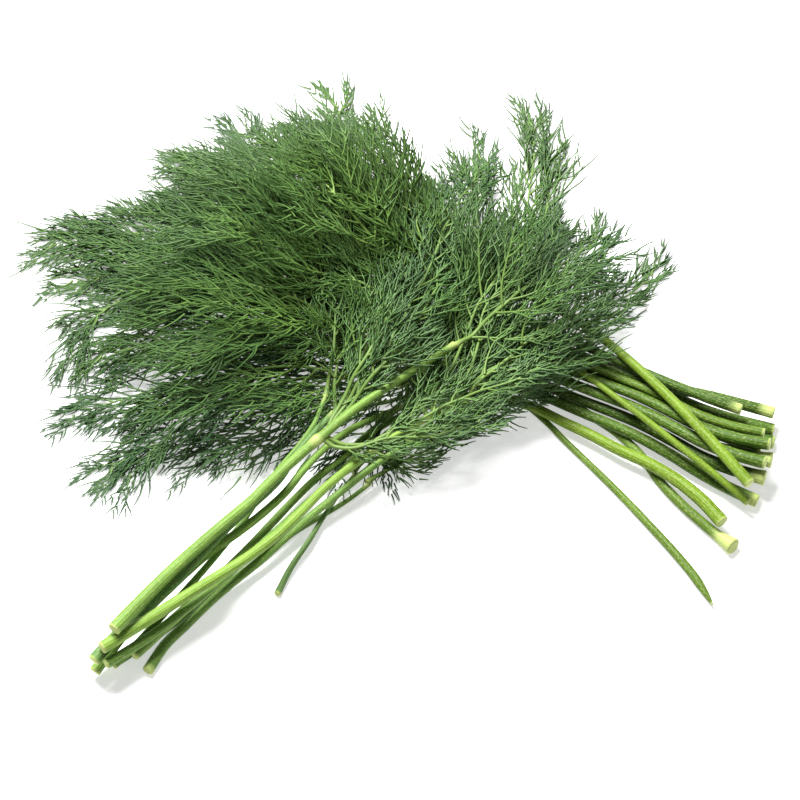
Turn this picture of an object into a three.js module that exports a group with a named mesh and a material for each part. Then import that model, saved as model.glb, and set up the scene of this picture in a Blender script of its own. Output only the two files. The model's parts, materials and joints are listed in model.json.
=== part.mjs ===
// A bunch of fresh cut dill lying on a table: two handfuls of sprigs laid across each other.
// The rear sprigs have their cut ends on the right and their leaves spread to the left. The front
// sprigs lie over them, with their cut ends at the lower left and their leaves to the upper right.
//
// Each stem is a tapering tube. Each leaf is a flat tapering plume, the outer shape of its feathery
// segments, and starts at its own stem. The pieces are laid one after another on a height map of
// the heap, so each one rests on what is already under it and none runs through another.
//
// Units are millimetres, +Z is up, and the table is the plane z = 0.
import * as THREE from "three";

// Driving dimensions
const GAP = 0.45; // clear distance between neighbouring pieces
const CELL = 0.25; // pitch of the height map, and of the sections where a piece is measured
const HALF_TABLE = 190; // the height map covers this far on each side of the middle
const SAG_ROUNDS = 600; // a leaf is limp: the fewer the rounds, the closer it follows its rests
const STEM_SIDES = 7;
const STEM_RING_PITCH = 14;
const STEM_TAPER = 0.5; // a stem's diameter at its leafy end, as a share of that at the cut
const MOST_BEND = 1 / 300; // a stem is stiff: it arches over its rests by no more than this
const LEAF_SIDES = 6;
const LEAF_RING_PITCH = 9.5;
const LEAF_HALF_THICKNESS = 2.6;
const PETIOLE_HALF_WIDTH = 1.5;
const PETIOLE_SHARE = 0.12; // the share of a leaf's length that is bare stalk
const LEAF_TIP_HALF_WIDTH = 0.6;
const LOBE_DEPTH = 0.3; // how far a plume's outline pulls in between two pairs of side shoots
const LEAF_START = 2.2; // a leaf's stalk starts this far from its stem's centre line

const STEM_GREEN = new THREE.MeshStandardMaterial({ color: 0x7fa23f, roughness: 0.5, metalness: 0 });
const REAR_GREEN = new THREE.MeshStandardMaterial({ color: 0x2f5a34, roughness: 0.7, metalness: 0 });
const FRONT_GREEN = new THREE.MeshStandardMaterial({ color: 0x4d7f40, roughness: 0.7, metalness: 0 });

const { clamp, lerp } = THREE.MathUtils;
const UP = new THREE.Vector3(0, 0, 1);
const STEM_SLOPES = Array.from({ length: 81 }, (_, i) => (i - 40) / 100);
const STEM_BENDS = Array.from({ length: 7 }, (_, i) => (i * MOST_BEND) / 6);
const HEXAGON_HEIGHT = Math.sqrt(0.75); // of a hexagon one unit from centre to corner
const heap = new THREE.Group();
const stemRoutes = new Map();

// The height map: the top of whatever has been laid over each cell of the table.
const cells = Math.round((2 * HALF_TABLE) / CELL);
const tops = new Float32Array(cells * cells);

function cellAt(section, offset) {
  const x = section.centre.x + section.side.x * offset;
  const y = section.centre.y + section.side.y * offset;
  return Math.floor((y + HALF_TABLE) / CELL) * cells + Math.floor((x + HALF_TABLE) / CELL);
}

// The offsets from a section's middle, half a cell apart, that reach one cell past its two edges.
function offsetsAcross(section) {
  const reach = section.halfWidth + CELL;
  const count = Math.ceil((4 * reach) / CELL);
  return Array.from({ length: count + 1 }, (_, i) => reach * ((2 * i) / count - 1));
}

// How far a section reaches above and below its centre, at an offset from its middle. A stem is
// round, and a leaf is a flat hexagon with its corners at the two edges.
function halfDepth(section, offset) {
  const share = clamp((Math.abs(offset) - CELL) / section.halfWidth, 0, 1);
  const round = Math.sqrt(1 - share * share);
  const hexagon = HEXAGON_HEIGHT * Math.min(1, 2 - 2 * share);
  return section.halfThickness * (section.isLeaf ? hexagon : round);
}

// The least height of a section's centre that clears everything under it.
function supportedHeight(section) {
  const rests = offsetsAcross(section).map((offset) => {
    const below = tops[cellAt(section, offset)];
    return below > 0 ? below + GAP + halfDepth(section, offset) : 0;
  });
  return Math.max(section.halfThickness, ...rests);
}

// Marks the cells under a section as filled up to the section's top.
function fill(section) {
  for (const offset of offsetsAcross(section)) {
    const cell = cellAt(section, offset);
    tops[cell] = Math.max(tops[cell], section.centre.z + halfDepth(section, offset));
  }
}

// The heights of a limp piece over its rests. Each round pulls it a little straighter wherever it
// isn't held up, and its two ends stay on their rests.
function sagging(rests) {
  let heights = rests;
  for (let round = 0; round < SAG_ROUNDS; round++) {
    heights = heights.map((height, i) => {
      if (i === 0 || i === heights.length - 1) return height;
      return Math.max(rests[i], (heights[i - 1] + heights[i + 1]) / 2);
    });
  }
  return heights;
}

// The heights of a stiff piece over its rests: of the slight arcs that clear them all, the lowest.
function arching(rests) {
  const distances = rests.map((_, i) => (i - (rests.length - 1) / 2) * CELL);
  let lowest = { mean: Infinity };
  for (const bend of STEM_BENDS) {
    for (const slope of STEM_SLOPES) {
      const fall = distances.map((along) => (bend * along ** 2) / 2 - slope * along);
      const top = Math.max(...rests.map((rest, i) => rest + fall[i]));
      const mean = top - fall.reduce((sum, drop) => sum + drop, 0) / fall.length;
      if (mean < lowest.mean) lowest = { mean, heights: fall.map((drop) => top - drop) };
    }
  }
  return lowest.heights;
}

function sectionBetween(before, after, share) {
  return {
    centre: before.centre.clone().lerp(after.centre, share),
    side: before.side.clone().lerp(after.side, share),
    halfWidth: lerp(before.halfWidth, after.halfWidth, share),
    halfThickness: lerp(before.halfThickness, after.halfThickness, share),
    isLeaf: before.isLeaf,
  };
}

// All sections of a piece, so many from each ring to the next.
function sectionsOf(rings, perRing) {
  const sections = [];
  rings.slice(1).forEach((after, i) => {
    for (let k = 0; k < perRing; k++) sections.push(sectionBetween(rings[i], after, k / perRing));
  });
  return [...sections, rings[rings.length - 1]];
}

// Lays a piece on the heap along its route in plan, and returns its rings.
function lay(points, ringPitch, isStiff, shapeAt) {
  const inPlan = points.map(([x, y]) => new THREE.Vector3(x, y, 0));
  const route = new THREE.CatmullRomCurve3(inPlan, false, "centripetal");
  const last = Math.round(route.getLength() / ringPitch);
  const rings = Array.from({ length: last + 1 }, (_, i) => ({
    centre: route.getPointAt(i / last),
    side: new THREE.Vector3().crossVectors(UP, route.getTangentAt(i / last)).normalize(),
    ...shapeAt(i / last, i),
  }));
  const perRing = Math.ceil(ringPitch / CELL);
  const rests = sectionsOf(rings, perRing).map(supportedHeight);
  const heights = isStiff ? arching(rests) : sagging(rests);
  rings.forEach((ring, i) => (ring.centre.z = heights[i * perRing]));
  // A straight run between two rings may cut below a rest, so both rings rise by what it lacks.
  rests.slice(0, -1).forEach((rest, i) => {
    const before = rings[Math.floor(i / perRing)].centre;
    const after = rings[Math.floor(i / perRing) + 1].centre;
    const lack = Math.max(0, rest - lerp(before.z, after.z, (i % perRing) / perRing));
    before.z += lack;
    after.z += lack;
  });
  sectionsOf(rings, perRing).forEach(fill);
  return { route, rings };
}

// A closed cylinder whose rings are moved to the piece's own rings.
function addSolid(name, rings, sides, material) {
  const last = rings.length - 1;
  const geometry = new THREE.CylinderGeometry(1, 1, 1, sides, last, false, Math.PI / 2);
  const position = geometry.getAttribute("position");
  for (let i = 0; i < position.count; i++) {
    const { centre, side, halfWidth, halfThickness } = rings[Math.round((0.5 - position.getY(i)) * last)];
    const point = centre.clone().addScaledVector(side, position.getX(i) * halfWidth);
    point.addScaledVector(UP, position.getZ(i) * halfThickness);
    position.setXYZ(i, point.x, point.y, point.z);
  }
  const solid = new THREE.Mesh(geometry, material);
  solid.name = name;
  heap.add(solid);
}

// A stem from its cut end to the base of its end leaf. Its points are in plan.
function layStem(name, diameter, points) {
  const { route, rings } = lay(points, STEM_RING_PITCH, true, (u) => {
    const radius = (diameter / 2) * lerp(1, STEM_TAPER, u);
    return { halfWidth: radius, halfThickness: radius, isLeaf: false };
  });
  stemRoutes.set(name, route);
  addSolid(name, rings, STEM_SIDES, STEM_GREEN);
}

// A leaf that grows from its stem at a share of the stem's length, through points in plan to its
// tip. Its half width reaches the given number of millimetres at the longest side shoots.
function layLeaf(name, stem, share, reach, points, material) {
  const node = stemRoutes.get(stem).getPointAt(share);
  const towardsLeaf = new THREE.Vector3(points[0][0], points[0][1], 0).sub(node);
  const start = node.clone().add(towardsLeaf.setLength(LEAF_START));
  const shapeAt = (u, ring) => {
    const blade = clamp((u - PETIOLE_SHARE) / (1 - PETIOLE_SHARE), 0, 1);
    const plume = Math.pow(Math.sin(Math.PI * Math.pow(blade, 0.75)), 0.75);
    const lobe = ring % 2 ? 1 : 1 - LOBE_DEPTH;
    const stalk = lerp(PETIOLE_HALF_WIDTH, LEAF_TIP_HALF_WIDTH, u);
    return {
      halfWidth: stalk + (reach - stalk) * plume * lobe,
      halfThickness: lerp(stalk, LEAF_HALF_THICKNESS, plume),
      isLeaf: true,
    };
  };
  const { rings } = lay([[start.x, start.y], ...points], LEAF_RING_PITCH, false, shapeAt);
  addSolid(name, rings, LEAF_SIDES, material);
}

const rearLeaf = (...leaf) => layLeaf(...leaf, REAR_GREEN);
const frontLeaf = (...leaf) => layLeaf(...leaf, FRONT_GREEN);

// The rear stems: the loose one and the flared one under them all, then seven side by side, then
// five along the valleys between those, and then the two that cross over the bundle.
layStem("rear_stem_01", 3.6, [[128, -112], [120, -97.5], [104, -76], [89, -57.5], [66, -31.5],
  [52, -16.5], [24, -5]]);
layStem("rear_stem_14", 4.2, [[137.5, -86], [125.5, -74.5], [112.5, -60.5], [103, -47], [97, -37],
  [79, -22], [44, 5], [3, 18]]);
layStem("rear_stem_02", 5.4, [[133, -76.5], [121, -62], [103.5, -48.5], [89, -40.5], [75, -31.5],
  [65, -26], [52, -18.5], [37.5, -14.5], [2, -13]]);
layStem("rear_stem_03", 5.0, [[148, -64], [130, -55], [102, -36.6], [75, -23], [35, -5.5], [-3, -7]]);
layStem("rear_stem_04", 5.2, [[151, -57], [130, -49], [102, -30.6], [75, -17], [35, 0.5], [-6, -1]]);
layStem("rear_stem_05", 5.0, [[154, -50], [130, -42.5], [102, -24.9], [75, -11.4], [35, 6.5], [-8, 5]]);
layStem("rear_stem_06", 4.8, [[150, -43], [130, -36], [102, -19.3], [75, -5.8], [35, 12.5], [-8, 11.5]]);
layStem("rear_stem_07", 5.0, [[156, -36], [131, -29], [102, -13.6], [75, -0.2], [35, 18.5], [-6, 18.5]]);
layStem("rear_stem_08", 4.8, [[156, -30], [132, -23.5], [102, -9.4], [75, 4.2], [38, 23.5], [-3, 26]]);
layStem("rear_stem_09", 4.8, [[151, -54], [130, -45.7], [102, -27.7], [75, -14.2], [35, 3.5], [-10, 8]]);
layStem("rear_stem_10", 4.6, [[153, -46], [130, -39.2], [102, -22], [75, -8.6], [35, 10], [-8, 16]]);
layStem("rear_stem_11", 3.8, [[151, -39], [130, -32.6], [102, -16.4], [75, -3], [40, 14], [-1, 26]]);
layStem("rear_stem_12", 4.6, [[156, -25], [131, -18], [102, -10.5], [75, 2.5], [42, 20], [8, 36]]);
layStem("rear_stem_13", 4.2, [[142, -26.5], [126, -20.5], [102, -9], [75, 6], [48, 23], [19, 42]]);
layStem("rear_stem_15", 3.0, [[144, -67], [125, -51.5], [108, -37.5], [86, -19], [68, -4],
  [36, 12], [9, 18]]);
layStem("rear_stem_16", 4.6, [[144, -65], [125, -41], [108, -20], [84, 7], [62, 27], [34, 44]]);

// The rear leaves, from the outermost and lowest to the ones on top of the heap.
rearLeaf("rear_leaf_01", "rear_stem_02", 1, 13, [[-24, -20], [-63, -32], [-92, -49]]);
rearLeaf("rear_leaf_02", "rear_stem_03", 1, 18, [[-47, -20], [-97, -34], [-131, -55]]);
rearLeaf("rear_leaf_03", "rear_stem_05", 1, 20, [[-63, -6], [-105, -12], [-145, -24]]);
rearLeaf("rear_leaf_04", "rear_stem_04", 1, 16, [[-47, -14], [-89, -30], [-119, -59]]);
rearLeaf("rear_leaf_05", "rear_stem_07", 1, 20, [[-50, 22], [-90, 32], [-124, 31], [-141, -5]]);
rearLeaf("rear_leaf_06", "rear_stem_08", 1, 24, [[-62, 44], [-110, 61], [-158, 61]]);
rearLeaf("rear_leaf_07", "rear_stem_11", 1, 17, [[-46, 48], [-80, 74], [-106, 84]]);
rearLeaf("rear_leaf_08", "rear_stem_12", 1, 20, [[-24, 58], [-51, 97], [-73, 126]]);
rearLeaf("rear_leaf_09", "rear_stem_12", 0.92, 13, [[-10, 56], [-32, 93], [-46, 124]]);
rearLeaf("rear_leaf_10", "rear_stem_16", 1, 9, [[17, 58], [1, 79], [-22, 106]]);
rearLeaf("rear_leaf_11", "rear_stem_13", 1, 15, [[3, 55], [-15, 90], [-29, 142]]);
rearLeaf("rear_leaf_12", "rear_stem_16", 0.94, 11, [[16, 58], [0, 77], [-22, 100]]);
rearLeaf("rear_leaf_13", "rear_stem_14", 1, 22, [[-28, 48], [-62, 83], [-104, 104]]);
rearLeaf("rear_leaf_14", "rear_stem_01", 1, 19, [[-26, -8], [-74, -14], [-116, -26]]);
rearLeaf("rear_leaf_15", "rear_stem_06", 1, 22, [[-60, 9], [-96, 9], [-136, 2]]);
rearLeaf("rear_leaf_16", "rear_stem_15", 1, 20, [[-22, 48], [-52, 74], [-84, 92]]);
rearLeaf("rear_leaf_17", "rear_stem_09", 1, 22, [[-52, 19], [-82, 30], [-114, 33]]);
rearLeaf("rear_leaf_18", "rear_stem_10", 1, 22, [[-42, 36], [-74, 51], [-108, 57]]);
rearLeaf("rear_leaf_19", "rear_stem_13", 0.93, 19, [[2, 53], [-21, 76], [-44, 102]]);
rearLeaf("rear_leaf_20", "rear_stem_15", 0.93, 20, [[-6, 36], [-28, 58], [-58, 82]]);

// The front sprigs, each stem with its leaves, from the lowest to the one that lies over them all.
layStem("front_stem_01", 3.2, [[-116, -138.5], [-99, -125.5], [-81.5, -110], [-62, -94],
  [-45, -78.5], [-23.5, -63.5], [-12, -53.5]]);
frontLeaf("front_leaf_01", "front_stem_01", 1, 12, [[2, -44], [17, -35], [34, -20]]);
layStem("front_stem_02", 2.6, [[-51, -107], [-46, -96], [-37, -81], [-28, -64], [-18, -49]]);
frontLeaf("front_leaf_02", "front_stem_02", 1, 10, [[-9, -44], [-2, -46], [8, -49]]);
layStem("front_stem_03", 4.2, [[-103.5, -143], [-99.5, -135], [-87.5, -121.5], [-74, -107.5],
  [-59, -94.5], [-42.5, -78.5], [-25.5, -63.5], [-6.5, -47.5], [15.5, -32.5]]);
frontLeaf("front_leaf_03", "front_stem_03", 1, 16, [[46, -9], [79, 21], [114, 54]]);
layStem("front_stem_04", 3.2, [[-117.5, -142], [-109, -134], [-99, -122], [-84.5, -105],
  [-67.5, -83], [-54.5, -62.5], [-46.5, -50.5], [-38, -40.5], [-31, -22]]);
frontLeaf("front_leaf_04", "front_stem_04", 1, 15, [[-29, -10], [-27, 4], [-25, 24]]);
layStem("front_stem_05", 4.2, [[-109, -139.5], [-96.5, -126], [-80, -108], [-61, -85.5],
  [-49, -70], [-36, -54.5], [-23.5, -43], [-14, -32.5], [8, -16.5]]);
frontLeaf("front_leaf_05", "front_stem_05", 1, 18, [[33, 8], [50, 38], [68, 72]]);
layStem("front_stem_06", 4.4, [[-125, -144.5], [-118, -135.5], [-109, -124], [-96.5, -112],
  [-80, -96], [-63.5, -83], [-49, -68.5], [-36, -49.5], [-21.5, -34.5], [1.5, -19.5]]);
frontLeaf("front_leaf_06", "front_stem_06", 1, 14, [[21, 6], [44, 48], [57, 100], [56, 133]]);
layStem("front_stem_07", 3.8, [[-120, -146], [-107.5, -137], [-93, -125], [-79.5, -112],
  [-65.5, -98], [-46.5, -77.5], [-30, -60.5], [-12, -45.5], [8, -31]]);
frontLeaf("front_leaf_07", "front_stem_07", 0.79, 13, [[8, -36], [34, -22], [70, -2]]);
frontLeaf("front_leaf_08", "front_stem_07", 1, 18, [[26, 0], [42, 32], [60, 76]]);
layStem("front_stem_08", 4.8, [[-125, -144.5], [-114, -132], [-100.5, -119], [-87, -104],
  [-66.5, -80.5], [-52.5, -66.5], [-40.5, -47], [-27, -30]]);
frontLeaf("front_leaf_09", "front_stem_08", 1, 15, [[-15, -8], [0, 18], [18, 60]]);
layStem("front_stem_09", 4.8, [[-121.5, -142], [-106.5, -131.5], [-87, -117.5], [-75, -109],
  [-62, -99.5], [-49, -88], [-32, -68.5], [-19, -56], [-9, -48], [8, -36], [25, -27.5]]);
frontLeaf("front_leaf_10", "front_stem_09", 0.77, 12, [[6, -41], [22, -31], [41, -18]]);
frontLeaf("front_leaf_11", "front_stem_09", 1, 15, [[42, -12], [66, 10], [90, 38]]);
layStem("front_stem_10", 5.2, [[-116.5, -136.5], [-103, -120], [-88, -103], [-73, -87.5],
  [-59.5, -74], [-49, -63], [-32, -47.5], [-13, -31.5], [4.5, -18], [23.5, -4]]);
frontLeaf("front_leaf_12", "front_stem_10", 0.62, 12, [[-23, -51], [-11, -49], [2, -42],
  [21, -32], [50, -20], [78, -4]]);
frontLeaf("front_leaf_13", "front_stem_10", 0.62, 14, [[-24, -33], [-13, -18], [0, 0], [8, 22],
  [19, 56], [37, 112]]);
frontLeaf("front_leaf_14", "front_stem_10", 1, 20, [[40, 8], [61, 32], [88, 73]]);

// The frame's origin is the middle of the whole bunch's underside.
const box = new THREE.Box3().setFromObject(heap);
const middle = box.getCenter(new THREE.Vector3());
heap.position.set(-middle.x, -middle.y, -box.min.z);

export default heap;
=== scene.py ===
"""A bunch of fresh cut dill lying on a table: two handfuls of sprigs laid across each other."""

import json
import math
import random

import bpy
from mathutils import Matrix, Vector
from mathutils.geometry import interpolate_bezier

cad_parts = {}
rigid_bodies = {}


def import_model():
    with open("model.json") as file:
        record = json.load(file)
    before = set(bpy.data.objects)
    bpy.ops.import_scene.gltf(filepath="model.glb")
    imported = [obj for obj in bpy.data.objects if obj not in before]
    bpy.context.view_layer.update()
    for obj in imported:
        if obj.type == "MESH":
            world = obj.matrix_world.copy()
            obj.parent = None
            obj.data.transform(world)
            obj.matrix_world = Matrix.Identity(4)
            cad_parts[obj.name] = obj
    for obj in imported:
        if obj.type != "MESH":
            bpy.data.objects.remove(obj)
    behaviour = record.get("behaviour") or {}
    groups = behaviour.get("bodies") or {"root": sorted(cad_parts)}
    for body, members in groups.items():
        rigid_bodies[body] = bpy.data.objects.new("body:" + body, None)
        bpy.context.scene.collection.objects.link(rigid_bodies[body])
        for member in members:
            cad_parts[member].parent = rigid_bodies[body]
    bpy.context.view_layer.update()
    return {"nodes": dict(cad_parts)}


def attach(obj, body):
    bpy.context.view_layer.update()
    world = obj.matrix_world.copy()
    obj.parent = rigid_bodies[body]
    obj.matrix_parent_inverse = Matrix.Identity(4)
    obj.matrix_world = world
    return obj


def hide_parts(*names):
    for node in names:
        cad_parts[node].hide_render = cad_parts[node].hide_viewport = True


for leftover in list(bpy.data.objects):
    bpy.data.objects.remove(leftover)
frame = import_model()

# The camera. It looks down on the bunch from the side of the front handful's cut ends, through
# a long lens, so that the heap is seen almost as it lies on the table.
LOOK_DOWN = math.radians(60)
FIELD_WIDTH = 0.336
LENS = 250
VIEW_CENTRE = Vector((0.0003, -0.0110, 0))

camera = bpy.data.objects.new("camera", bpy.data.cameras.new("camera"))
bpy.context.scene.collection.objects.link(camera)
camera.data.lens = LENS
camera_distance = FIELD_WIDTH * LENS / camera.data.sensor_width
towards_camera = Vector((0, -math.cos(LOOK_DOWN), math.sin(LOOK_DOWN)))
camera.location = VIEW_CENTRE + towards_camera * camera_distance
camera.rotation_euler = towards_camera.to_track_quat("Z", "Y").to_euler()
bpy.context.scene.camera = camera


# The stems. Fresh dill stems are round and juicy, with fine lengthwise ribs that show as light
# lines on the green. They were cut across with a knife, which shows their pale pith, and they
# swell a little and turn pale where a leaf's stalk leaves them.
RIBS = 13
RIB_POINTS = 3  # across one rib
RIB_DEPTH = 0.045  # as a share of the stem's radius
UNEVENNESS = 0.015  # likewise
STEM_PITCH = 0.0022
PLUMPNESS = 1.07
JOINT_SWELL = 0.16  # as a share of the stem's radius
JOINT_PALENESS = 0.9
JOINT_LENGTH = 0.0018
CUT_EDGE = ((0.0, 0.0), (0.00005, 0.55), (0.0001, 0.88), (0.0004, 1.0))  # (how far in, share of radius)
PAST_CUT_EDGE = 0.001
OFF_TABLE = 0.0002
# How long the bleached end is, and how much wider than the stem it gapes where it was torn.
PALE_ENDS = {
    "rear_stem_14": 0.0115, "rear_stem_12": 0.007, "rear_stem_13": 0.0045, "rear_stem_04": 0.005,
    "rear_stem_05": 0.007, "rear_stem_03": 0.004, "front_stem_03": 0.002,
}
PLAIN_PALE_END = 0.0008
FLARES = {"rear_stem_14": 0.6, "rear_stem_05": 0.25, "rear_stem_04": 0.15}
POINTED_STEM, POINT_LENGTH, POINT_BLUNTNESS = "rear_stem_01", 0.012, 0.12
# The top stem's upper part clears the leaves beside it, and climbs there over a few rings.
RAISED_STEM, RAISE, RAISED_FROM_RING, RINGS_OF_CLIMB = "front_stem_10", 0.008, 6, 4
# Middle, dark, light and odd green of each handful, and the stems that don't take a random one.
REAR_GREENS = ((0.046, 0.097, 0.005), (0.035, 0.078, 0.005), (0.065, 0.122, 0.006), (0.115, 0.192, 0.008))
FRONT_GREENS = ((0.124, 0.226, 0.036), (0.096, 0.19, 0.03), (0.15, 0.26, 0.032), (0.076, 0.155, 0.04))
MIDDLE, DARK, LIGHT, ODD = range(4)
STEM_GREENS = {
    "rear_stem_01": LIGHT, "rear_stem_02": ODD, "rear_stem_15": ODD, "rear_stem_16": ODD,
    "front_stem_01": DARK, "front_stem_02": ODD, "front_stem_03": DARK, "front_stem_04": DARK,
    "front_stem_05": MIDDLE, "front_stem_06": MIDDLE, "front_stem_07": DARK, "front_stem_08": ODD,
    "front_stem_09": LIGHT, "front_stem_10": MIDDLE,
}
PITH = (0.42, 0.50, 0.16, 1)


class Graph:
    """Adds nodes to a tree. A socket's value is a constant, a node or a node's output."""

    def __init__(self, name, kind="GeometryNodeTree"):
        self.tree = bpy.data.node_groups.new(name, kind) if isinstance(name, str) else name

    def sockets(self, in_out, **kinds):
        for name, kind in kinds.items():
            title = name.replace("_", " ").title()
            self.tree.interface.new_socket(title, in_out=in_out, socket_type="NodeSocket" + kind)

    def feed(self, socket, value):
        if isinstance(value, bpy.types.Node):
            value = value.outputs[0]
        if isinstance(value, bpy.types.NodeSocket):
            self.tree.links.new(value, socket)
        else:
            socket.default_value = value

    def add(self, kind, sockets=None, **settings):
        node = self.tree.nodes.new(kind)
        for name, value in settings.items():
            setattr(node, name, value)
        for key, value in (sockets or {}).items():
            self.feed(node.inputs[key], value)
        return node

    def math(self, operation, *values):
        return self.add("ShaderNodeMath", dict(enumerate(values)), operation=operation)

    def vector(self, operation, *values, **named):
        return self.add("ShaderNodeVectorMath", {**dict(enumerate(values)), **named}, operation=operation)

    def between(self, share, low, high):
        """The number this share of the way from low to high."""
        return self.math("MULTIPLY_ADD", share, self.math("SUBTRACT", high, low), low)

    def mixed(self, share, first, second):
        """The colour this share of the way from the first to the second."""
        return self.add("ShaderNodeMix", {0: share, 6: first, 7: second}, data_type="RGBA").outputs[2]

    def random(self, low, high, seed):
        values = {"Min_001": low, "Max_001": high, "Seed": seed}
        node = self.add("FunctionNodeRandomValue", data_type="FLOAT")
        for socket in node.inputs:
            if socket.identifier in values:
                self.feed(socket, values[socket.identifier])
        return node.outputs[1]

    def either_side(self, most, seed):
        """A random number from minus the most to plus the most."""
        return self.random(self.math("MULTIPLY", most, -1), most, seed)

    def named(self, name, kind="FLOAT"):
        return self.add("GeometryNodeInputNamedAttribute", {"Name": name}, data_type=kind)

    def store(self, geometry, name, value, kind="FLOAT", domain="POINT"):
        sockets = {"Geometry": geometry, "Name": name, "Value": value}
        return self.add("GeometryNodeStoreNamedAttribute", sockets, data_type=kind, domain=domain)

    def joined(self, *parts):
        together = self.add("GeometryNodeJoinGeometry")
        for part in parts:
            self.feed(together.inputs[0], part)
        return together


def rings_of(node):
    """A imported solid's rings from its base to its tip, each as (centre, half width)."""
    mesh = frame["nodes"][node].data
    spots = [tuple(round(c * 2e5) for c in v.co) for v in mesh.vertices]  # to 0.005 mm
    place = {spot: v.co.copy() for spot, v in zip(spots, mesh.vertices)}
    near = {spot: set() for spot in place}
    for edge in mesh.edges:
        a, b = (spots[i] for i in edge.vertices)
        near[a].add(b)
        near[b].add(a)
    for pole in sorted(near):
        sides = len(near[pole] - {pole})
        levels, seen = [{pole}], {pole}
        while levels[-1] and len(levels[-1]) in (1, sides):
            levels.append({n for spot in levels[-1] for n in near[spot]} - seen)
            seen |= levels[-1]
        rings = [[place[spot] for spot in sorted(level)] for level in levels[1:-2]]
        if not levels[-1] and len(levels[-2]) == 1 and len(rings) > 3:
            break
    found = []
    for ring in rings:
        centre = sum(ring, Vector()) / len(ring)
        found.append((centre, max((corner.xy - centre.xy).length for corner in ring)))
    return found if found[0][1] > found[-1][1] else found[::-1]


def smooth_route(points, pitch):
    """Points about a pitch apart on a smooth line through the given ones."""
    route = []
    for i, (a, b) in enumerate(zip(points, points[1:])):
        before, after = points[max(i - 1, 0)], points[min(i + 2, len(points) - 1)]
        count = max(1, round((b - a).length / pitch))
        route += interpolate_bezier(a, a + (b - before) / 6, b - (after - a) / 6, b, count + 1)[:-1]
    return route + [points[-1]]


def distances_along(points):
    """How far along the line each point is."""
    distances = [0.0]
    for a, b in zip(points, points[1:]):
        distances.append(distances[-1] + (b - a).length)
    return distances


def value_at(x, xs, ys):
    """The straight-line value between the listed ones."""
    for (x0, y0), (x1, y1) in zip(zip(xs, ys), zip(xs[1:], ys[1:])):
        if x <= x1:
            return y0 + (y1 - y0) * max(0.0, x - x0) / max(x1 - x0, 1e-9)
    return ys[-1]


def grown(name, lines, tree, inputs):
    """A plain mesh that a tree grows along lines, each a dict of points and values at them."""
    points, edges = [], []
    for line in lines:
        edges += [(i, i + 1) for i in range(len(points), len(points) + len(line["points"]) - 1)]
        points += line["points"]
    carrier = bpy.data.meshes.new(name)
    carrier.from_pydata(points, edges, [])
    for key in lines[0]:
        if key != "points":
            values = [value for line in lines for value in line[key]]
            carrier.attributes.new(key, "FLOAT", "POINT").data.foreach_set("value", values)
    carrier = bpy.data.objects.new(name + "_line", carrier)
    bpy.context.scene.collection.objects.link(carrier)
    modifier = carrier.modifiers.new("growth", "NODES")
    modifier.node_group = tree
    for socket in tree.interface.items_tree:
        if socket.in_out == "INPUT" and socket.name in inputs:
            modifier[socket.identifier] = inputs[socket.name]
    depsgraph = bpy.context.evaluated_depsgraph_get()
    mesh = bpy.data.meshes.new_from_object(carrier.evaluated_get(depsgraph), depsgraph=depsgraph)
    mesh.name = name
    if mesh.materials[0] is None:  # an empty slot that no face uses
        mesh.materials.pop(index=0)
    bpy.data.objects.remove(carrier)
    piece = bpy.data.objects.new(name, mesh)
    bpy.context.scene.collection.objects.link(piece)
    return piece


# A ribbed tube along the line. Its profile is open, with one point more than it has corners, so
# that the map runs from 0 to 1 round it, and its two edges are then merged.
g = Graph("Ribbed Stem")
g.sockets("INPUT", geometry="Geometry", ribs="Float", rib_points="Int", rib_depth="Float",
          material="Material")
g.sockets("OUTPUT", geometry="Geometry")
given = g.add("NodeGroupInput")
corners = g.math("MULTIPLY_ADD", given.outputs["Ribs"], given.outputs["Rib Points"], 1)
line = g.add("GeometryNodeCurvePrimitiveLine")
line = g.add("GeometryNodeResampleCurve", {"Curve": line, "Count": corners})
around = g.add("GeometryNodeSplineParameter")
turn = g.math("MULTIPLY", around, -2 * math.pi)
wave = g.math("COSINE", g.math("MULTIPLY", turn, given.outputs["Ribs"]))
radius = g.math("MULTIPLY_ADD", wave, given.outputs["Rib Depth"], 1)
spot = g.add("ShaderNodeCombineXYZ", {"X": g.math("COSINE", turn), "Y": g.math("SINE", turn)})
spot = g.vector("SCALE", spot, Scale=radius)
line = g.store(line, "around", around)
profile = g.add("GeometryNodeSetPosition", {"Geometry": line, "Position": spot})
route = g.add("GeometryNodeMeshToCurve", {"Mesh": given.outputs["Geometry"]})
tube = g.add("GeometryNodeCurveToMesh",
             {"Curve": route, "Profile Curve": profile, "Scale": g.named("radius_m")})
uv = g.add("ShaderNodeCombineXYZ", {"X": g.named("around"), "Y": g.named("share")})
tube = g.store(tube, "OFBake", uv, "FLOAT2", "CORNER")
tube = g.add("GeometryNodeMergeByDistance", {"Geometry": tube, "Distance": 1e-6})
tube = g.add("GeometryNodeSetShadeSmooth", {"Geometry": tube})
tube = g.add("GeometryNodeRealizeInstances", {"Geometry": tube})
tube = g.add("GeometryNodeSetMaterial", {"Geometry": tube, "Material": given.outputs["Material"]})
g.add("NodeGroupOutput", {"Geometry": tube})
ribbed_stem = g.tree


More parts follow.
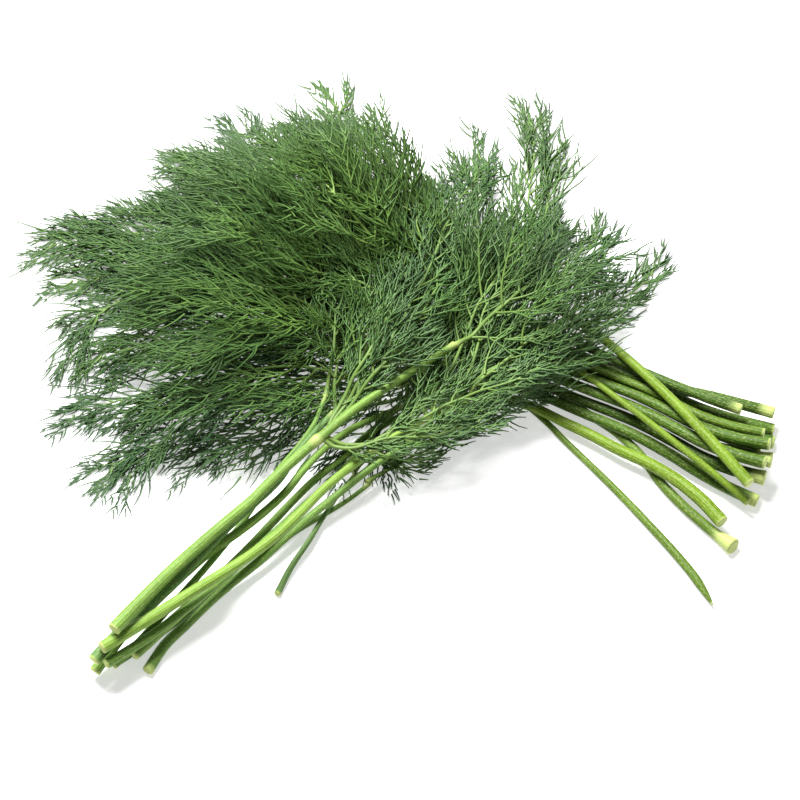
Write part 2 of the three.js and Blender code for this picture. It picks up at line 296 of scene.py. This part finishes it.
# The look of the skin: lighter ribs, fine lengthwise streaks, soft patches, and rows of short pale
# strokes painted as highlights, standing in for glints on the ribs. Round the stem the noise is read on a
# circle, so that it has no seam.
m = Graph("Stem Colours", "ShaderNodeTree")
m.sockets("INPUT", green="Color", light="Color", pale="Color", patchiness="Float", rib_lightness="Float",
          streaks="Float", dashes="Float", shift="Float")
m.sockets("OUTPUT", colour="Color")
given = m.add("NodeGroupInput")
across, along = m.add("ShaderNodeSeparateXYZ", {0: m.add("ShaderNodeUVMap", uv_map="OFBake")}).outputs[:2]
turn = m.math("MULTIPLY", across, 2 * math.pi)
circle = m.add("ShaderNodeCombineXYZ", {"X": m.math("COSINE", turn), "Y": m.math("SINE", turn)})
object_place = m.add("ShaderNodeTexCoord").outputs["Object"]


def skin_noise(cells_round, cells_along, detail):
    """Noise drawn out along the stem, with about this many cells round it and along it."""
    round_part = m.vector("SCALE", circle, Scale=cells_round / (2 * math.pi))
    height = m.math("MULTIPLY_ADD", along, cells_along, given.outputs["Shift"])
    place = m.vector("ADD", round_part, m.add("ShaderNodeCombineXYZ", {"Z": height}))
    return m.add("ShaderNodeTexNoise", {"Vector": place, "Scale": 1.0, "Detail": detail})


def rising(value, none_at, full_at):
    """0 where the value is none_at, 1 where it is full_at."""
    return m.add("ShaderNodeMapRange", {"Value": value, "From Min": none_at, "From Max": full_at})


patches = m.add("ShaderNodeTexNoise", {"Vector": object_place, "Scale": 60, "Detail": 3})
darker = m.vector("SCALE", given.outputs["Green"], Scale=0.55)
patchy = m.math("MULTIPLY", rising(patches, 0.65, 0.35), given.outputs["Patchiness"])
colour = m.mixed(patchy, given.outputs["Green"], darker)
rib = m.math("MULTIPLY_ADD", m.math("COSINE", m.math("MULTIPLY", turn, RIBS)), 0.5, 0.5)
colour = m.mixed(m.math("MULTIPLY", rib, given.outputs["Rib Lightness"]), colour, given.outputs["Light"])
streak = rising(skin_noise(34, 12, 1), 0.42, 0.62)
colour = m.mixed(m.math("MULTIPLY", streak, given.outputs["Streaks"]), colour, given.outputs["Light"])
# Painted highlights: short pale strokes along the ribs that stand in for glints.
glint_dash = rising(skin_noise(52, 120, 0), 0.6, 0.7)
colour = m.mixed(m.math("MULTIPLY", glint_dash, given.outputs["Dashes"]), colour, given.outputs["Pale"])
m.add("NodeGroupOutput", {"Colour": colour})
stem_colours = m.tree


def stem_material(name, green, shift):
    """Fresh stem skin: the stem's greens, and paler joints and cuts."""
    material = bpy.data.materials.new(name)
    material.use_nodes = True
    shader = material.node_tree.nodes["Principled BSDF"]
    m = Graph(material.node_tree)
    light = tuple(c * 1.7 + 0.015 for c in green)
    # Among these is the strength of the painted highlights, the pale glints along the ribs.
    looks = {"Green": (*green, 1), "Light": (*light, 1), "Pale": PITH, "Patchiness": 0.6,
             "Rib Lightness": 0.4, "Streaks": 0.5, "Dashes": 0.42, "Shift": shift}
    skin = m.add("ShaderNodeGroup", looks, node_tree=stem_colours)
    pale = m.add("ShaderNodeAttribute", attribute_name="pale")
    m.feed(shader.inputs["Base Color"], m.mixed(pale.outputs["Fac"], skin, PITH))
    shader.inputs["Roughness"].default_value = 0.5
    shader.inputs["Specular IOR Level"].default_value = 0.18
    return material


rear_skins, front_skins = [], []
for i, (rear_green, front_green) in enumerate(zip(REAR_GREENS, FRONT_GREENS)):
    rear_skins.append(stem_material(f"rear_skin_{i}", rear_green, 20.0 * i))
    front_skins.append(stem_material(f"front_skin_{i}", front_green, 90 + 20.0 * i))
stems = sorted(name for name in frame["nodes"] if "stem" in name)
leaves = sorted(name for name in frame["nodes"] if "leaf" in name)
stem_rings = {name: rings_of(name) for name in stems}
for i, (centre, _) in enumerate(stem_rings[RAISED_STEM]):
    centre.z += RAISE * min(1.0, max(0.0, (i - RAISED_FROM_RING) / RINGS_OF_CLIMB))
leaf_rings = {name: rings_of(name) for name in leaves}

# Each leaf's stalk starts on the nearest stem of its handful, and the stem swells there.
FINE_PITCH = 0.001
INTO_STEM = 3  # fine points, so that the stalk starts a little below where it comes nearest
joints = {name: [] for name in stems}
leaf_starts = {}
for name in leaves:
    first = leaf_rings[name][0][0]
    near = []
    for stem in stems:
        if stem.split("_")[0] == name.split("_")[0]:
            route = smooth_route([centre for centre, _ in stem_rings[stem]], FINE_PITCH)
            i = min(range(len(route)), key=lambda i: (route[i] - first).length)
            near.append(((route[i] - first).length, stem, route, i))
    _, stem, route, i = min(near, key=lambda entry: entry[0])
    i = max(i - INTO_STEM, 1)
    leaf_starts[name] = (route[i], (route[i] - route[i - 1]).normalized())
    joints[stem].append(distances_along(route)[i])


def stem_line(name, draws):
    """The stem's middle from its cut end up, with its radius and its paleness on the way."""
    centres = [centre for centre, _ in stem_rings[name]]
    widths = [width for _, width in stem_rings[name]]
    ring_spots = distances_along(centres)
    route = smooth_route(centres, STEM_PITCH)
    along = distances_along(route)
    pale_end = PALE_ENDS.get(name, PLAIN_PALE_END)
    line = {"points": [], "radius_m": [], "pale": [], "share": []}
    for distance, share in list(CUT_EDGE) + [(d, 1.0) for d in along if d > PAST_CUT_EDGE]:
        spot = [value_at(distance, along, [point[axis] for point in route]) for axis in range(3)]
        radius = value_at(distance * ring_spots[-1] / along[-1], ring_spots, widths) * PLUMPNESS
        radius *= 1 + FLARES.get(name, 0.0) * max(0.0, 1 - distance / pale_end) ** 1.5
        if name == POINTED_STEM:
            radius *= POINT_BLUNTNESS + (1 - POINT_BLUNTNESS) * min(1.0, distance / POINT_LENGTH) ** 0.6
        pale = max(0.0, min(1.0, 2.5 * (1 - distance / pale_end)))
        for joint in joints[name]:
            near = math.exp(-(((distance - joint) / JOINT_LENGTH) ** 2))
            radius *= 1 + JOINT_SWELL * near
            pale = max(pale, JOINT_PALENESS * near)
        spot[2] = max(spot[2], radius * (1 + RIB_DEPTH) * (1 + UNEVENNESS) + OFF_TABLE)
        line["points"].append(spot)
        line["radius_m"].append(radius * share * draws.uniform(1 - UNEVENNESS, 1 + UNEVENNESS))
        line["pale"].append(pale)
        line["share"].append(distance / along[-1])
    line["radius_m"][-1] = 0.0  # closed at the top
    return line


for name in stems:
    draws = random.Random(name)
    line = stem_line(name, draws)
    skins = front_skins if name.startswith("front") else rear_skins
    skin = skins[STEM_GREENS.get(name, draws.randrange(3))]
    inputs = {"Ribs": float(RIBS), "Rib Points": RIB_POINTS, "Rib Depth": RIB_DEPTH, "Material": skin}
    piece = grown("visible_" + name, [line], ribbed_stem, inputs)
    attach(piece, "root")
    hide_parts(name)


# The leaves. A dill leaf is divided again and again: a stalk carries pairs of side shoots, these
# carry smaller ones, and the last are soft green threads under a millimetre wide that sweep
# towards the leaf's tip. The stalk is pale where it clasps its stem.
STALK_CORNERS = 7
STALK_RADIUS = (0.0011, 0.00032)  # at the base and at the tip
SHEATH_RADIUS = 0.0015
SHEATH_LENGTH = 0.006
BARE_STALK = 0.06  # as a share of the leaf
FINE_END = 0.2  # the share of the stalk, at its tip, that carries small shoots too
LEAF_PITCH = 0.003
PAIR_ANGLE, PAIR_SPREAD = math.radians(30), math.radians(6)
SHOOT_ANGLE, SHOOT_SPREAD = math.radians(25), math.radians(10)
THREAD_ANGLE, THREAD_SPREAD = math.radians(21), math.radians(13)
THREADS_PAST_SHOOT = 0.009
SHORTEST_SHOOT, LONGEST_SHOOT = 0.006, 0.07
TIP_LEFT_TO_THREADS = 0.014
SHADE_SPREAD = 0.12  # how much one shoot's green differs from the next
SHADE_AT_BASE, SHADE_LOST_BY_TIP = 0.12, 0.3  # the shoots near the stem are the lighter ones
SHORTENING = 0.3  # of small shoots from a side shoot's base to its tip, as a share of its length
SHORTEST_SMALL, SHORTEST_THREAD = 0.002, 0.0025
THREAD_SHARE = 0.8  # of the small shoot that a thread grows on
HEAP_SOFTNESS = 0.012  # over this height the heap's top levels off
# How thick each generation is, how low it may lie, and its place on the map from stalk to tips.
SIDE_TUBES = {"corners": 4, "radii": (0.00060, 0.00034), "resting": 0.0006, "ages": (0.0, 0.75)}
SMALL_TUBES = {"corners": 3, "radii": (0.00052, 0.00028), "resting": 0.0005, "ages": (0.6, 0.95)}
THREAD_TUBES = {"corners": 3, "radii": (0.00048, 0.00018), "resting": 0.0004, "ages": (0.68, 1.0)}
# Smaller leaves from the same joint: (turned by degrees, at this share of the size).
COMPANIONS = {
    "front_leaf_03": ((26, 0.6), (-18, 0.45)), "front_leaf_05": ((-32, 0.6), (25, 0.5)),
    "front_leaf_06": ((-6, 0.92), (8, 0.8), (24, 0.45)), "front_leaf_07": ((24, 0.6),),
    "front_leaf_08": ((30, 0.55), (-28, 0.6)), "front_leaf_09": ((26, 0.5),),
    "front_leaf_11": ((28, 0.55),), "front_leaf_12": ((-14, 0.6),),
    "front_leaf_13": ((-7, 0.8), (5, 0.85)), "rear_leaf_01": ((30, 0.5), (55, 0.42)),
    "rear_leaf_06": ((-4, 0.93), (6, 0.92)), "rear_leaf_10": ((28, 0.6), (-20, 0.75)),
    "rear_leaf_12": ((28, 0.6),), "rear_leaf_13": ((-4, 0.98),), "rear_leaf_14": ((-24, 0.6),),
    "rear_leaf_16": ((30, 0.55),), "rear_leaf_17": ((28, 0.5),), "rear_leaf_18": ((-26, 0.5),),
    "rear_leaf_19": ((28, 0.5), (-24, 0.5)), "rear_leaf_20": ((28, 0.6), (-26, 0.6)),
}
BESIDE_STEM = ("front_leaf_12", "front_leaf_13")  # short shoots near the joint, clear of the stem
# Green from the pale base of the stalk to the thread tips, in a dark bluish and a light
# yellowish kind, which the shade mixes.
DARK_LEAF = ((0.0, (0.32, 0.40, 0.12)), (0.025, (0.12, 0.20, 0.052)), (0.5, (0.10, 0.18, 0.055)),
             (0.75, (0.056, 0.118, 0.043)), (1.0, (0.036, 0.083, 0.037)))
LIGHT_LEAF = ((0.0, (0.40, 0.48, 0.14)), (0.025, (0.20, 0.31, 0.065)), (0.5, (0.175, 0.29, 0.06)),
              (0.75, (0.125, 0.232, 0.048)), (1.0, (0.095, 0.188, 0.042)))

leaf_green = bpy.data.materials.new("leaf_green")
leaf_green.use_nodes = True
shader = leaf_green.node_tree.nodes["Principled BSDF"]
m = Graph(leaf_green.node_tree)
place = m.add("ShaderNodeSeparateXYZ", {0: m.add("ShaderNodeUVMap", uv_map="OFBake")})
ramps = []
for stops in (DARK_LEAF, LIGHT_LEAF):
    ramp = m.add("ShaderNodeValToRGB", {0: place.outputs["Y"]})
    for i, (position, colour) in enumerate(stops):
        stop = ramp.color_ramp.elements[i] if i < 2 else ramp.color_ramp.elements.new(position)
        stop.position, stop.color = position, (*colour, 1)
    ramps.append(ramp)
m.feed(shader.inputs["Base Color"], m.mixed(place.outputs["X"], *ramps))
shader.inputs["Roughness"].default_value = 0.42
shader.inputs["Specular IOR Level"].default_value = 0.24

# Shoots on both sides of every given line, by turns. Each leaves its line at an angle, rolled a
# little out of the leaf's plane, and bends forwards, so that all of them sweep the leaf's way.
# On short lines they stand closer together.
g = Graph("Side Shoots")
g.sockets("INPUT", curves="Geometry", steps="Int", bend="Float", spacing="Float", start="Float",
          length="Float", angle="Float", spread="Float", lift="Float", roll="Float", sweep="Float",
          seed="Int")
g.sockets("OUTPUT", curves="Geometry")
given = g.add("NodeGroupInput")
seed = given.outputs["Seed"]
lines = g.store(given.outputs["Curves"], "t", g.add("GeometryNodeSplineParameter"))
lines = g.store(lines, "whole", g.add("GeometryNodeSplineLength"))
spacing = g.math("MULTIPLY_ADD", g.named("whole"), 0.3, 0.0006)
spacing = g.math("MINIMUM", spacing, given.outputs["Spacing"])
spots = g.add("GeometryNodeCurveToPoints", {"Curve": lines, "Length": spacing}, mode="LENGTH")
bare = g.math("LESS_THAN", g.named("t"), given.outputs["Start"])
kept = g.add("GeometryNodeDeleteGeometry", {"Geometry": spots, "Selection": bare}, domain="POINT")
pairs = g.add("GeometryNodeDuplicateElements", {"Geometry": kept, "Amount": 2}, domain="POINT")
tangent = spots.outputs["Tangent"]
left_or_right = g.math("MULTIPLY_ADD", pairs.outputs["Duplicate Index"], 2, -1)
sideways = g.vector("NORMALIZE", g.vector("CROSS_PRODUCT", (0, 0, 1), tangent))
sideways = g.vector("SCALE", sideways, Scale=left_or_right)
steepness = g.vector("DOT_PRODUCT", tangent, (0, 0, 1)).outputs["Value"]
upwards = g.vector("SUBTRACT", (0, 0, 1), g.vector("SCALE", tangent, Scale=steepness))
upwards = g.vector("NORMALIZE", upwards)
roll = g.math("ADD", given.outputs["Lift"], g.either_side(given.outputs["Roll"], seed))
outwards = g.vector("ADD", g.vector("SCALE", sideways, Scale=g.math("COSINE", roll)),
                    g.vector("SCALE", upwards, Scale=g.math("SINE", roll)))
turn = g.either_side(given.outputs["Spread"], g.math("ADD", seed, 7))
turn = g.math("ADD", given.outputs["Angle"], turn)
direction = g.vector("ADD", g.vector("SCALE", tangent, Scale=g.math("COSINE", turn)),
                     g.vector("SCALE", outwards, Scale=g.math("SINE", turn)))
swept = g.vector("SCALE", g.named("heading", "FLOAT_VECTOR"), Scale=given.outputs["Sweep"])
direction = g.vector("NORMALIZE", g.vector("ADD", direction, swept))
rotation = g.add("FunctionNodeAxesToRotation", {"Primary Axis": direction, "Secondary Axis": tangent},
                 primary_axis="Z", secondary_axis="X")
middle = g.add("ShaderNodeCombineXYZ", {"X": g.math("MULTIPLY", given.outputs["Bend"], -1), "Z": 0.5})
shoot = g.add("GeometryNodeCurveQuadraticBezier", {"Resolution": given.outputs["Steps"],
              "Start": (0, 0, 0), "Middle": middle, "End": (0, 0, 1)})
length = g.math("MULTIPLY", given.outputs["Length"], g.random(0.6, 1.25, g.math("ADD", seed, 13)))
scatter = g.random(-0.25, 0.25, g.math("ADD", seed, 29))
by_turns = g.math("MULTIPLY_ADD", pairs.outputs["Duplicate Index"], 0.5, scatter)
along = g.vector("SCALE", tangent, Scale=g.math("MULTIPLY", by_turns, given.outputs["Spacing"]))
spread_out = g.add("GeometryNodeSetPosition", {"Geometry": pairs, "Offset": along})
shoots = g.add("GeometryNodeInstanceOnPoints", {"Points": spread_out, "Instance": shoot,
               "Rotation": rotation, "Scale": length})
shoots = g.add("GeometryNodeRealizeInstances", {"Geometry": shoots})
g.add("NodeGroupOutput", {"Curves": shoots})
side_shoots = g.tree

# Thin tubes along the given lines, with the leaf's map: across is the shade of green, and along
# runs from the pale base of the stalk to the tips of the threads. A tube takes up a little room
# both ways, so that its end caps have some too.
g = Graph("Thin Tubes")
g.sockets("INPUT", curves="Geometry", corners="Int", base_radius="Float", tip_radius="Float",
          base_age="Float", tip_age="Float")
g.sockets("OUTPUT", mesh="Geometry")
given = g.add("NodeGroupInput")
lines = g.store(given.outputs["Curves"], "t", g.add("GeometryNodeSplineParameter"))
circle = g.add("GeometryNodeCurvePrimitiveCircle", {"Resolution": given.outputs["Corners"], "Radius": 1.0})
circle = g.store(circle, "around", g.add("GeometryNodeSplineParameter"))
radius = g.between(g.named("t"), given.outputs["Base Radius"], given.outputs["Tip Radius"])
tubes = g.add("GeometryNodeCurveToMesh",
              {"Curve": lines, "Profile Curve": circle, "Scale": radius, "Fill Caps": True})
shade = g.math("MULTIPLY_ADD", g.named("around"), 0.015, g.named("shade"))
age = g.between(g.named("t"), given.outputs["Base Age"], given.outputs["Tip Age"])
age = g.math("MULTIPLY_ADD", g.math("SINE", g.math("MULTIPLY", g.named("around"), math.pi)), 0.01, age)
uv = g.add("ShaderNodeCombineXYZ", {"X": shade, "Y": age})
tubes = g.store(tubes, "OFBake", uv, "FLOAT2", "CORNER")
g.add("NodeGroupOutput", {"Mesh": tubes})
thin_tubes = g.tree

# A whole leaf: the stalk, side shoots whose length is the room the leaf has there, small shoots on
# these and on the stalk's end, and threads on the small shoots.
g = Graph("Dill Leaf")
g.sockets("INPUT", geometry="Geometry", shade="Float", pair_spacing="Float", shoot_spacing="Float",
          thread_spacing="Float", shoot_share="Float", thread_length="Float", lift="Float", fluff="Float",
          waviness="Float", table_clearance="Float", heap_height="Float", seed="Int", material="Material")
g.sockets("OUTPUT", geometry="Geometry")
given = g.add("NodeGroupInput")
seed = given.outputs["Seed"]
whole, t = g.named("whole"), g.named("t")


def shoots_on(curves, seed_step, **sizes):
    """The next generation of shoots, on the given lines. Each random draw has its own seed step."""
    sockets = {name.title(): value for name, value in sizes.items()}
    sockets["Curves"] = curves
    sockets["Seed"] = g.math("ADD", seed, seed_step)
    return g.add("GeometryNodeGroup", sockets, node_tree=side_shoots)


def other_shade(seed_step):
    """A green somewhat off the one of the line that the shoot grows on."""
    change = g.random(-SHADE_SPREAD, SHADE_SPREAD, g.math("ADD", seed, seed_step))
    return g.math("ADD", g.named("shade"), change)


def lying(curves, resting):
    """The lines waved by a soft noise, and kept between the table and the heap's top."""
    noise = g.add("ShaderNodeTexNoise", {"Scale": 35.0, "Detail": 1.0}, noise_dimensions="3D")
    wave = g.vector("SCALE", g.vector("SUBTRACT", noise.outputs["Color"], (0.5, 0.5, 0.5)),
                    Scale=given.outputs["Waviness"])
    moved = g.add("GeometryNodeSetPosition", {"Geometry": curves, "Offset": wave})
    place = g.add("ShaderNodeSeparateXYZ", {0: g.add("GeometryNodeInputPosition")})
    lowest = g.math("ADD", resting, given.outputs["Table Clearance"])
    height = g.math("MAXIMUM", place.outputs["Z"], lowest)
    height = g.math("SMOOTH_MIN", height, given.outputs["Heap Height"], HEAP_SOFTNESS)
    spot = g.add("ShaderNodeCombineXYZ", {"X": place.outputs["X"], "Y": place.outputs["Y"], "Z": height})
    return g.add("GeometryNodeSetPosition", {"Geometry": moved, "Position": spot})


def tubes_on(curves, corners, radii, resting, ages):
    sockets = {"Curves": lying(curves, resting), "Corners": corners, "Base Radius": radii[0],
               "Tip Radius": radii[1], "Base Age": ages[0], "Tip Age": ages[1]}
    return g.add("GeometryNodeGroup", sockets, node_tree=thin_tubes)


fluff = given.outputs["Fluff"]
stalk = g.add("GeometryNodeMeshToCurve", {"Mesh": given.outputs["Geometry"]})
stalk = g.store(stalk, "shade", given.outputs["Shade"])
stalk = g.store(stalk, "heading", g.add("GeometryNodeInputTangent"), "FLOAT_VECTOR")
side = shoots_on(stalk, 100, steps=9, bend=0.13, spacing=given.outputs["Pair Spacing"], start=BARE_STALK,
                 length=g.named("reach"), angle=PAIR_ANGLE, spread=PAIR_SPREAD, lift=given.outputs["Lift"],
                 roll=fluff, sweep=0.0)
shade = g.math("MULTIPLY_ADD", t, -SHADE_LOST_BY_TIP, g.math("ADD", other_shade(400), SHADE_AT_BASE))
side = g.store(side, "shade", shade, domain="CURVE")
stalk_end = {"Curve": stalk, "Start": 1 - FINE_END, "End": 1.0}
stalk_end = g.add("GeometryNodeTrimCurve", stalk_end, mode="FACTOR")
small_length = g.math("MULTIPLY_ADD", t, -SHORTENING, given.outputs["Shoot Share"])
small_length = g.math("ADD", g.math("MULTIPLY", whole, small_length), SHORTEST_SMALL)
small = shoots_on(g.joined(stalk_end, side), 200, steps=6, bend=0.12,
                  spacing=given.outputs["Shoot Spacing"], start=0.08, length=small_length,
                  angle=SHOOT_ANGLE, spread=SHOOT_SPREAD, lift=0.0,
                  roll=g.math("MULTIPLY", fluff, 1.4), sweep=0.25)
small = g.store(small, "shade", other_shade(500), domain="CURVE")
thread_length = g.math("MULTIPLY_ADD", whole, THREAD_SHARE, SHORTEST_THREAD)
thread_length = g.math("MINIMUM", given.outputs["Thread Length"], thread_length)
threads = shoots_on(small, 300, steps=3, bend=0.1, spacing=given.outputs["Thread Spacing"],
                    start=0.06, length=thread_length, angle=THREAD_ANGLE, spread=THREAD_SPREAD, lift=0.0,
                    roll=g.math("MULTIPLY", fluff, 1.8), sweep=0.28)
stalk_radius = g.named("radius_m")
leaf = g.joined(
    tubes_on(threads, **THREAD_TUBES), tubes_on(small, **SMALL_TUBES), tubes_on(side, **SIDE_TUBES),
    tubes_on(stalk, STALK_CORNERS, (stalk_radius, stalk_radius), stalk_radius, (0.0, 0.5)),
)
leaf = g.add("GeometryNodeRealizeInstances", {"Geometry": leaf})
leaf = g.add("GeometryNodeSetShadeSmooth", {"Geometry": leaf})
leaf = g.add("GeometryNodeSetMaterial", {"Geometry": leaf, "Material": given.outputs["Material"]})
g.add("NodeGroupOutput", {"Geometry": leaf})
dill_leaf = g.tree


def leaf_route(name):
    """The leaf's stalk, which leaves the stem's middle along the stem and turns into the leaf."""
    centres = [centre.copy() for centre, _ in leaf_rings[name]]
    for _ in range(3):
        heights = [centre.z for centre in centres]
        for i in range(1, len(centres) - 1):
            centres[i].z = (heights[i - 1] + heights[i] + heights[i + 1]) / 3
    start, along_stem = leaf_starts[name]
    end = centres[1]
    pull = (end - start).length / 2
    leaving = start + along_stem * pull
    arriving = end - (centres[2] - centres[0]).normalized() * pull
    turn = interpolate_bezier(start, leaving, arriving, end, 7)[:-1]
    return turn + smooth_route(centres[1:], LEAF_PITCH)


def room_for_shoot(distance, length, ring_spots, outline):
    """How long a side shoot may be there, so that its threads end inside the leaf's outline."""
    reach = SHORTEST_SHOOT
    while reach < LONGEST_SHOOT:
        past = reach + THREADS_PAST_SHOOT
        ahead = distance + past * math.cos(PAIR_ANGLE)
        if ahead > length or past * math.sin(PAIR_ANGLE) > value_at(ahead, ring_spots, outline):
            break
        reach += 0.001
    return reach


def grown_line(name, turn, scale):
    """A leaf's stalk with the length its side shoots may have, or a smaller one turned aside."""
    route = leaf_route(name)
    base = route[0]
    route = [base + Matrix.Rotation(turn, 3, "Z") @ (point - base) * scale for point in route]
    along = distances_along(route)
    length = along[-1]
    while along[-1] > length - TIP_LEFT_TO_THREADS:
        along.pop()
        route.pop()
    rings = leaf_rings[name]
    widths = [width * scale for _, width in rings]
    ring_spots = [spot * scale for spot in distances_along([centre for centre, _ in rings])]
    ring_spots = [spot + length - ring_spots[-1] for spot in ring_spots]
    outline = [max(w, (a + b) / 2) for a, w, b in zip([widths[0]] + widths, widths, widths[1:] + [0.0])]
    reaches, radii = [], []
    for distance in along:
        reach = room_for_shoot(distance, length, ring_spots, outline)
        if name in BESIDE_STEM:
            reach = min(reach, max(SHORTEST_SHOOT * 0.6, 0.3 * distance))
        reaches.append(reach)
        tapered = STALK_RADIUS[0] + (STALK_RADIUS[1] - STALK_RADIUS[0]) * (distance / length) ** 0.6
        sheath = max(0.0, 1 - distance / SHEATH_LENGTH)
        radii.append(tapered + (SHEATH_RADIUS - STALK_RADIUS[0]) * sheath)
    return {"points": route, "reach": reaches, "radius_m": radii}


GROWTH = {
    "Pair Spacing": 0.0105, "Shoot Spacing": 0.0062, "Thread Spacing": 0.0058, "Shoot Share": 0.58,
    "Thread Length": 0.0150, "Lift": 0.1, "Fluff": 0.42, "Waviness": 0.006, "Table Clearance": 0.0005,
    "Heap Height": 0.066, "Material": leaf_green,
}
for number, name in enumerate(leaves):
    draws = random.Random(name)
    lines = [grown_line(name, 0.0, 1.0)]
    for turn, scale in COMPANIONS.get(name, ()):
        lines.append(grown_line(name, math.radians(turn), scale))
    front = name.startswith("front")
    if front:
        shade = draws.uniform(0.3, 0.55)
    else:
        # Painted light: a leaf higher in the heap gets a lighter green, standing in for the light that
        # falls on it and not on the leaves below.
        shade = draws.uniform(0.0, 0.25) + 0.6 * int(name[-2:]) / 20  # lighter towards the heap's top
    piece = grown("visible_" + name, lines, dill_leaf, {**GROWTH, "Shade": shade, "Seed": 10 * number})
    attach(piece, "root")
    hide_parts(name)


# The studio: a pale table that runs out of sight, a large soft lamp above and behind the bunch,
# a weaker one in front, and pale light all round.
bpy.ops.mesh.primitive_plane_add(size=8)
table = bpy.context.object
table.name = "table"
paper = bpy.data.materials.new("pale_paper")
paper.use_nodes = True
shader = paper.node_tree.nodes["Principled BSDF"]
shader.inputs["Base Color"].default_value = (0.72, 0.72, 0.72, 1)
shader.inputs["Roughness"].default_value = 0.9
shader.inputs["Emission Color"].default_value = (1, 1, 1, 1)
shader.inputs["Emission Strength"].default_value = 0.5
table.data.materials.append(paper)


def soft_lamp(name, place, size, power):
    lamp = bpy.data.objects.new(name, bpy.data.lights.new(name, "AREA"))
    lamp.data.shape = "DISK"
    lamp.data.size = size
    lamp.data.energy = power
    lamp.location = place
    lamp.rotation_euler = Vector(place).to_track_quat("Z", "Y").to_euler()
    bpy.context.scene.collection.objects.link(lamp)


soft_lamp("main_lamp", (-0.35, 0.6, 1.4), 0.7, 70)
soft_lamp("fill_lamp", (0.5, -0.9, 1.2), 1.2, 2)
world = bpy.data.worlds.new("studio")
bpy.context.scene.world = world
world.use_nodes = True
world.node_tree.nodes["Background"].inputs["Color"].default_value = (1, 1, 1, 1)
world.node_tree.nodes["Background"].inputs["Strength"].default_value = 0.15
bpy.context.scene.view_settings.view_transform = "Standard"
